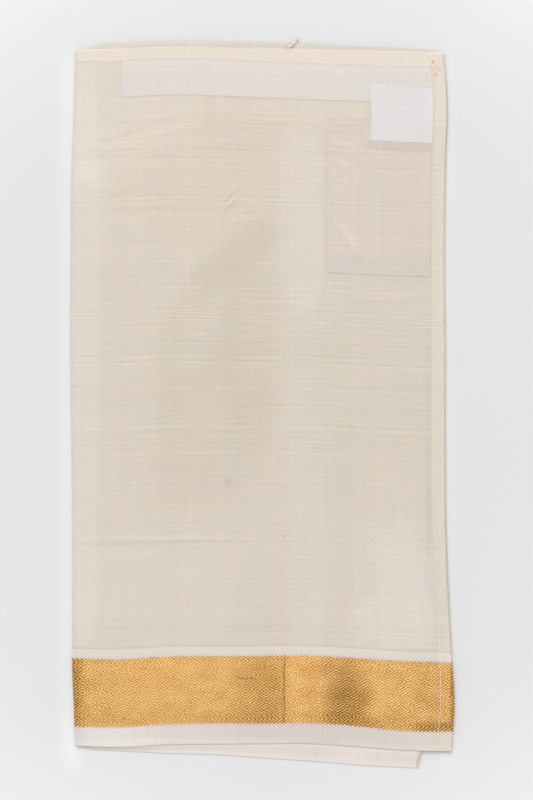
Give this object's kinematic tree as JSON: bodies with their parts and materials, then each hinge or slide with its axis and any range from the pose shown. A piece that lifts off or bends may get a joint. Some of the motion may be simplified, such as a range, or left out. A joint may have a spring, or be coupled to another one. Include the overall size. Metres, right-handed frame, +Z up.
{
  "type": "folded dhoti cloth",
  "caption": "Dhoti cloth with a woven metal-thread border, folded flat into a thin oblong pack that lies on a surface.",
  "frame": {"origin": "middle of the footprint on the surface that the folded cloth lies on", "axes": "+Z up from the surface, +Y towards the waist edge, -Y towards the woven border and selvedge, +X towards the hemmed side"},
  "size_m": [0.3494, 0.6602, 0.0079],
  "materials": {
    "ivory_ground": "sheer plain weave with slubs, soft silk sheen",
    "gold_zari": "woven metal thread in a lattice of nested diamonds",
    "selvedge_white": "plain weave, slightly glossy",
    "facing_white": "plain close weave, matt",
    "pocket_cloth": "plain close weave, matt",
    "label_tape": "smooth tape, bare",
    "inner_ground": "plain weave, matt"
  },
  "bodies": {
    "root": {"ground_panel": "ivory_ground", "zari_border": "gold_zari", "selvedge_margin": "selvedge_white", "waist_hem": "ivory_ground", "waist_facing": "facing_white", "inner_pocket": "pocket_cloth", "woven_label": "label_tape", "hidden_folds": "inner_ground", "slipped_panel": "inner_ground"}
  },
  "joints": []
}
